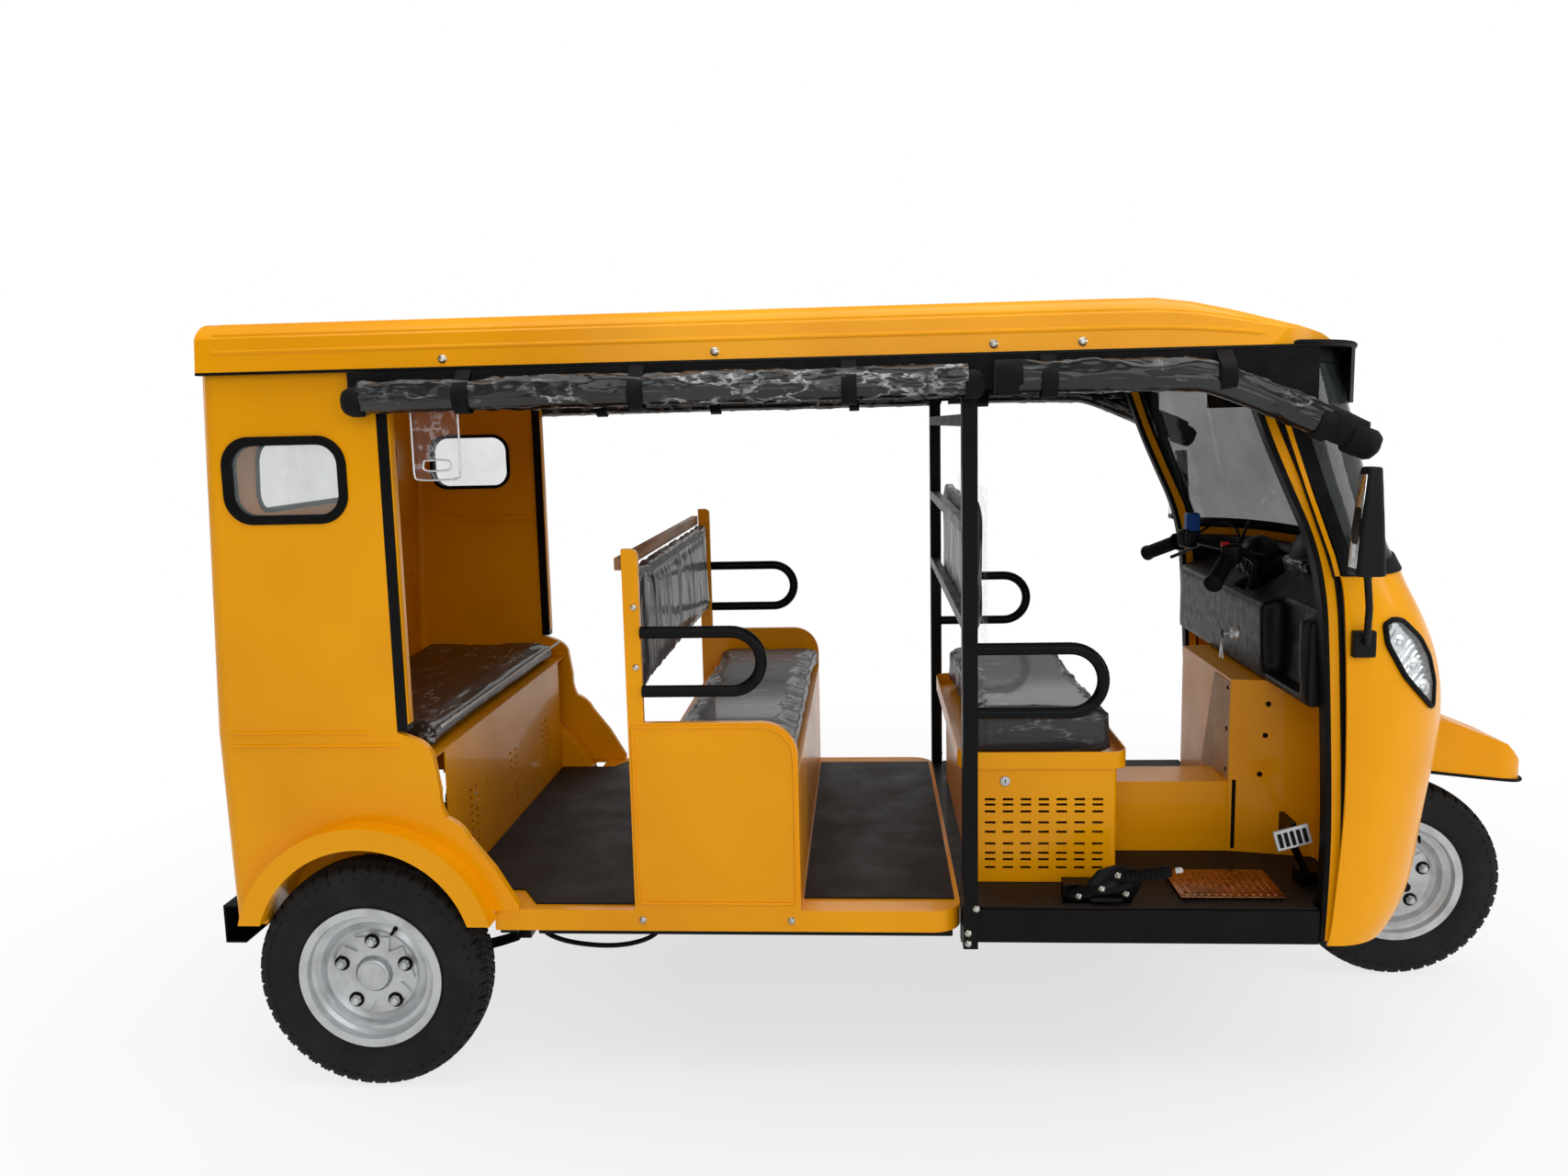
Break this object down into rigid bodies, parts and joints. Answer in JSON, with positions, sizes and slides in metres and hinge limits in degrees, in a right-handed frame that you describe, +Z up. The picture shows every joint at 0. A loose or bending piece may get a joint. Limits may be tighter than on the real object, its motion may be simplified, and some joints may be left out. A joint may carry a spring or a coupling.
{
  "type": "auto rickshaw",
  "caption": "Open-sided passenger auto rickshaw with bench seats, rolled side curtains, a curved windscreen and a handlebar-steered front wheel.",
  "frame": {"origin": "on the ground under the middle of the vehicle's length and width", "axes": "+X points forward, +Y to the left, +Z up"},
  "size_m": [3.24, 1.52, 1.772],
  "materials": {
    "body_yellow": "gloss orange-yellow paint",
    "frame_black": "satin black paint",
    "mat_black": "ribbed dark mat",
    "tyre": "matt",
    "rubber_black": "matt",
    "clear_glass": "clear",
    "seat_grey": "grey cloth under clear film",
    "silver_paint": "silver paint",
    "curtain_clear": "rolled clear sheet",
    "trim_black": "grained",
    "lamp_white": "clear lens",
    "lamp_red": "red lens",
    "cast_black": "rough cast, black",
    "engine_grey": "cast"
  },
  "bodies": {
    "root": {"chassis_frame": "frame_black", "floor_pan": "body_yellow", "cab_floor": "frame_black", "floor_mats": "mat_black", "rear_side_right": "body_yellow", "rear_side_left": "body_yellow", "rear_panel": "body_yellow", "window_rubbers": "rubber_black", "window_glass": "clear_glass", "rear_fenders": "body_yellow", "rear_seat_box": "body_yellow", "rear_seat_cushion": "seat_grey", "middle_seat_frame": "body_yellow", "middle_seat_cushion": "seat_grey", "middle_seat_back": "seat_grey", "armrests": "frame_black", "driver_seat_box": "body_yellow", "driver_seat_cushion": "seat_grey", "driver_seat_back": "seat_grey", "roof_frame": "frame_black", "roof_shell": "body_yellow", "side_curtains": "curtain_clear", "nose_shell": "body_yellow", "windscreen_glass": "clear_glass", "windscreen_frame": "rubber_black", "door_frames": "body_yellow", "front_bulkhead": "body_yellow", "gear_tunnel": "body_yellow", "dashboard": "trim_black", "headlamps": "lamp_white", "tail_lamps": "lamp_red", "mirrors": "trim_black", "pedal_and_handbrake": "frame_black", "rear_axle": "cast_black", "engine_block": "engine_grey", "leaf_springs": "frame_black", "rear_bumper": "frame_black", "under_floor_cable": "rubber_black"},
    "steering": {"steering_fork": "frame_black", "handlebar": "trim_black", "front_mudguard": "body_yellow"},
    "front_wheel": {"front_tyre": "tyre", "front_rim": "silver_paint"},
    "rear_wheel_right": {"rear_tyre_right": "tyre", "rear_rim_right": "silver_paint"},
    "rear_wheel_left": {"rear_tyre_left": "tyre", "rear_rim_left": "silver_paint"}
  },
  "joints": [
    {"name": "steering_turn", "type": "hinge", "parent": "root", "child": "steering", "pos_m": [0.972, 0, 1], "axis": [-0.3658, 0, 0.9307], "range_deg": [-38, 38]},
    {"name": "front_wheel_spin", "type": "hinge", "parent": "steering", "child": "front_wheel", "pos_m": [1.315, 0, 0.27], "axis": [0, 1, 0], "continuous": true},
    {"name": "rear_wheel_right_spin", "type": "hinge", "parent": "root", "child": "rear_wheel_right", "pos_m": [-1.243, -0.619, 0.27], "axis": [0, 1, 0], "continuous": true},
    {"name": "rear_wheel_left_spin", "type": "hinge", "parent": "root", "child": "rear_wheel_left", "pos_m": [-1.243, 0.619, 0.27], "axis": [0, 1, 0], "continuous": true}
  ]
}
